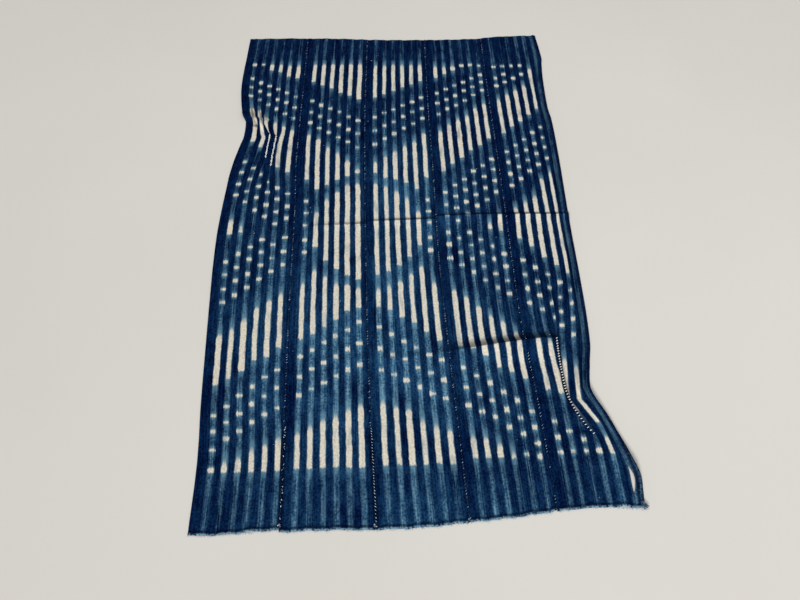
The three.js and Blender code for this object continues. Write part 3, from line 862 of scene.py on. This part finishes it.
yarn_paint, yarn_tree, yarn_shader = new_material("sewing_yarn")
yarn_pale = put(yarn_tree, "ShaderNodeAttribute", attribute_name="pale").outputs["Fac"]
yarn_place = put(yarn_tree, "ShaderNodeTexCoord").outputs["Object"]
yarn_inputs = {"Vector": yarn_place, "Scale": 900.0, "Detail": 2.0}
yarn_ply = put(yarn_tree, "ShaderNodeTexNoise", yarn_inputs).outputs["Fac"]
yarn_dark = blend(yarn_tree, yarn_ply, srgb(6, 18, 46), srgb(40, 74, 110))
yarn_worn = blend(yarn_tree, yarn_ply, srgb(158, 190, 224), srgb(206, 226, 246))
yarn_undyed = blend(yarn_tree, yarn_ply, srgb(206, 210, 218), srgb(250, 250, 250))
yarn_tone = blend(yarn_tree, ease(yarn_tree, yarn_pale, 0.0, 0.6), yarn_dark, yarn_worn)
yarn_tone = blend(yarn_tree, ease(yarn_tree, yarn_pale, 0.5, 0.85), yarn_tone, yarn_undyed)
yarn_tree.links.new(yarn_tone, yarn_shader.inputs["Base Color"])
yarn_shader.inputs["Roughness"].default_value = 0.9
yarn_shader.inputs["Specular IOR Level"].default_value = 0.1
yarn_twist = put(yarn_tree, "ShaderNodeBump", {"Height": yarn_ply, "Strength": 0.6, "Distance": 0.0003})
yarn_tree.links.new(yarn_twist.outputs["Normal"], yarn_shader.inputs["Normal"])

seam_beads = []
chance = random.Random(7)
for seam in range(1, PANEL_COUNT):
    start_y = max(front_hem["right"][seam - 1], front_hem["left"][seam]) + 4
    end_y = min(far_hem["right"][seam - 1], far_hem["left"][seam]) - 3
    y = start_y
    while y < end_y:
        x = float(along(seams, "y", f"seam{seam}", y))
        low, high = open_seams.get(seam, (0, 0))
        opened = low < y < high
        reach, slant = chance.uniform(1.2, 2.3), chance.uniform(1.0, 2.6)
        thickness, light = chance.uniform(0.7, 1.1), max(0, chance.uniform(-0.3, 0.58))
        step = chance.uniform(6.4, 8.0)
        if opened and seam == 1:
            x += OPEN_SEAM_SHIFT + chance.uniform(-2.2, 2.2)
            reach, slant = chance.uniform(0.6, 1.8), chance.choice((-1, 1)) * chance.uniform(0.8, 3.0)
            thickness, light = chance.uniform(1.0, 1.8), chance.choice((0.0, 0.3, 0.75, 0.95))
            step = chance.uniform(4.5, 9)
        elif opened:
            x += OPEN_SEAM_SHIFT + chance.uniform(-0.6, 0.6)
            reach, slant = chance.uniform(1.0, 1.8), -chance.uniform(1.0, 2.0)
            thickness, light = chance.uniform(1.1, 1.6), chance.uniform(0.35, 0.8)
            step = chance.uniform(6, 8.2)
        seam_beads.append((on_cloth(x - reach, y - slant, 0.2), on_cloth(x + reach, y + slant, 0.2),
                           thickness, light))
        y += step
    # A dark strand fills the gap along the whole seam.
    for place in np.arange(start_y + 3, end_y - 3, 10):
        ends = []
        for at in (place - 3, place + 13):
            ends.append(on_cloth(float(along(seams, "y", f"seam{seam}", at)), at, -0.5))
        seam_beads.append((*ends, 0.9, chance.uniform(0.0, 0.15)))
sew("seam_stitches", yarn_paint, seam_beads)

# Two worn splits near the left side are drawn together with thick undyed yarn, in jagged rows.
# A longer tear by the right side is whipped in short ticks of pale yarn over a dark slit. A dark knot
# sits on the second seam, and bits of lint lie on the cloth.
RIGHT_MEND_FAR, RIGHT_MEND_FRONT = -376, -632
LINT_COUNT = 40
mend_beads = []
for mend, low, high in left_mends:
    y = low
    while y < high:
        left, right = panel_sides(LEFT_PANEL, y)
        x = float(left + (right - left) * straight(mend, "y", "part", y)) + chance.uniform(-0.9, 0.9)
        reach = chance.uniform(1.2, 2.8)
        slant = chance.choice((-1, 1)) * chance.uniform(0.6, 2.0)
        mend_beads.append((on_cloth(x - reach, y - slant, 0.4), on_cloth(x + reach, y + slant, 0.4),
                           chance.uniform(2.2, 3.0), 1.0))
        y += chance.uniform(2.4, 3.8)
y = RIGHT_MEND_FAR
while y > RIGHT_MEND_FRONT:
    x = float(along(right_mend, "y", "x", y))
    reach = chance.uniform(2.2, 3.2)
    slant = chance.uniform(0.4, 1.6)
    tick_start, tick_end = on_cloth(x - reach, y - slant, 0.5), on_cloth(x + reach, y + slant, 0.5)
    tick_start.z = tick_end.z = on_cloth(x, y, 0.3).z
    mend_beads.append((tick_start, tick_end, chance.uniform(2.0, 2.6), chance.uniform(0.85, 1.0)))
    y -= chance.uniform(6.4, 7.8)
for x, y, reach in ((-113, 46, 2.2), (-108, 43, 1.8), (-109, 50, 2.0)):
    mend_beads.append((on_cloth(x - reach, y - 1, 0.5), on_cloth(x + reach, y + 1, 0.5), 2.2, 0.05))
for i in range(LINT_COUNT):
    x = chance.uniform(-450, 440)
    y = chance.uniform(-790, 780)
    mend_beads.append((on_cloth(x - 1, y, 0.2), on_cloth(x + 1, y + chance.uniform(-1.4, 1.4), 0.2),
                       chance.uniform(0.7, 1.4), chance.uniform(0.3, 0.9)))
sew("mend_stitches", yarn_paint, mend_beads)

# The rolled ends are worn: short fibres stand out of the lip, paler than the cloth, with a dark tuft
# at the front right corner and a few loose yarns where the seams end.
STRIP_WIDTH = 205
TUFT_COUNT = 46
fray = []
for hem, way, gap, longest in ((front_hem, -1, 1.3, 6.5), (far_hem, 1, 2.4, 3.2)):
    for panel in range(PANEL_COUNT):
        part = 0.004
        while part < 0.998:
            y = float(hem_line(hem, panel, part))
            left, right = panel_sides(panel, y)
            x = float(left + (right - left) * part)
            lean = chance.uniform(-0.9, 0.9)
            length = longest * chance.uniform(0.35, 1.0)
            root = on_cloth(x, y - way * 1.2, -0.4)
            tip = root + Vector((math.sin(lean), way * math.cos(lean), 0)) * length * MM
            tip.z = max(root.z - chance.uniform(0.2, 3.0) * MM, 0.0006)
            fray.append((root, tip, chance.uniform(0.4, 0.9), chance.uniform(0.0, 0.75)))
            part += gap * chance.uniform(0.5, 1.5) / STRIP_WIDTH
for i in range(TUFT_COUNT):
    root = on_cloth(chance.uniform(517, 523), chance.uniform(-793, -784), -0.2)
    lean = chance.uniform(0.15, 1.15)
    tip = root + Vector((math.cos(lean), -math.sin(lean), 0)) * chance.uniform(9, 19) * MM
    tip.z = chance.uniform(0.0008, 0.005)
    fray.append((root, tip, chance.uniform(0.7, 1.3), chance.uniform(0.0, 0.25)))
for x, y, count, pale_part in ((-79, -829, 9, 0.95), (-292, -824, 7, 0.7), (131, -818, 4, 0.6)):
    for i in range(count):
        root = on_cloth(x + chance.uniform(-3, 3), y + chance.uniform(0, 8), 0.2)
        lean = chance.uniform(-2.4, 2.4)
        tip = root + Vector((math.sin(lean), -math.cos(lean), 0)) * chance.uniform(5, 11) * MM
        tip.z = max(tip.z - 0.001, 0.0012)
        fray.append((root, tip, chance.uniform(0.8, 1.3), pale_part * chance.uniform(0.7, 1.0)))
sew("hem_fray", yarn_paint, fray, pointed=True)
